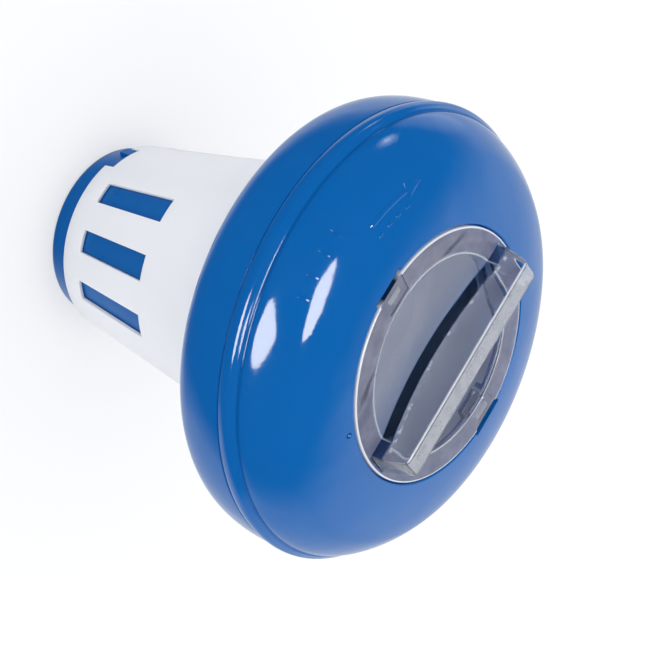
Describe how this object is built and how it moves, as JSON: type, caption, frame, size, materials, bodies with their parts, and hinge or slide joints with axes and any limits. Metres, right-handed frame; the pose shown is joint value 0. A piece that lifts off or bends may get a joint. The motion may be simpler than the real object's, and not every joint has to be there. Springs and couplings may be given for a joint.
{
  "type": "floating chlorine dispenser",
  "caption": "Pool chlorine floater: a hollow ring float round a slotted conical tablet basket, with a turning regulator cup and a clear twist-lock lid.",
  "frame": {"origin": "centre of the regulator cup's flat base, the lowest face", "axes": "+Z along the axis of the object, up through the lid; the lid's bar handle runs along Y, its two lugs lie on X"},
  "size_m": [0.165, 0.165, 0.17],
  "materials": {
    "blue_float": "glossy moulded blue",
    "blue_regulator": "satin moulded blue",
    "white_basket": "satin moulded white",
    "clear_lid": "clear moulded plastic with a faint smoky blue tint",
    "gasket_rubber": "soft grey rubber"
  },
  "bodies": {
    "float": {"upper_float_shell": "blue_float", "lower_float_shell": "blue_float", "chamber_basket": "white_basket"},
    "regulator": {"regulator_cup": "blue_regulator"},
    "gasket": {"lid_gasket": "gasket_rubber"},
    "lid": {"lid": "clear_lid"}
  },
  "joints": [
    {"name": "regulator_twist", "type": "hinge", "parent": "float", "child": "regulator", "pos_m": [0, 0, 0], "axis": [0, 0, 1], "range_deg": [0, 15]},
    {"name": "lid_lift", "type": "slide", "parent": "float", "child": "gasket", "axis": [0, 0, 1], "range_m": [0, 0.06]},
    {"name": "lid_twist", "type": "hinge", "parent": "gasket", "child": "lid", "pos_m": [0, 0, 0.15], "axis": [0, 0, -1], "range_deg": [0, 40]}
  ]
}
